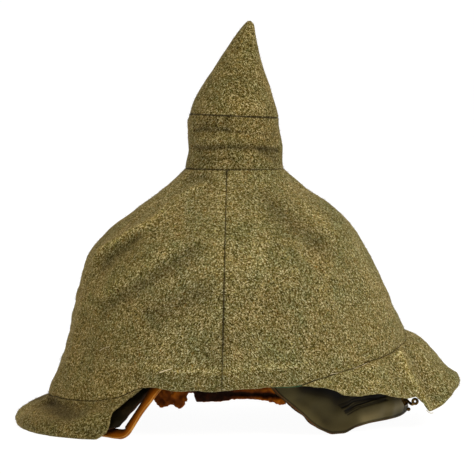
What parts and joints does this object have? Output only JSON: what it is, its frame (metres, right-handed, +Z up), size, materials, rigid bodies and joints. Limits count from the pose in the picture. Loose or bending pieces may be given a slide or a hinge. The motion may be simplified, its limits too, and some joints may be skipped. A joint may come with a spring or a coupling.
{
  "type": "spiked leather helmet in a cloth field cover",
  "caption": "Domed leather helmet with front and neck visors, under a sewn wool cover with a cloth cone over its spike and a leather chin strap.",
  "frame": {"origin": "on the ground under the middle of the helmet's length and breadth", "axes": "+X towards the rear, +Y to the helmet's right, +Z up along the spike"},
  "size_m": [0.3026, 0.1836, 0.2719],
  "materials": {
    "wool_cloth": "napped grey-green wool, flecked",
    "black_leather": "lacquered, worn",
    "olive_leather": "lacquered, wrinkled, brown at the raw edge",
    "brown_leather": "dry and torn",
    "tan_leather": "polished face, light cut edge",
    "aged_brass": "dark with age"
  },
  "bodies": {
    "root": {"cover_front_panel": "wool_cloth", "cover_rear_panel": "wool_cloth", "cover_front_flap": "wool_cloth", "cover_rear_flap": "wool_cloth", "spike_sleeve": "wool_cloth", "spike_cone": "wool_cloth", "helmet_shell": "black_leather", "front_visor": "black_leather", "rear_visor": "olive_leather", "sweatband": "brown_leather", "chin_strap": "tan_leather", "strap_knob_near": "aged_brass", "strap_knob_far": "aged_brass", "cover_hook": "aged_brass", "spike_post": "aged_brass"}
  },
  "joints": []
}
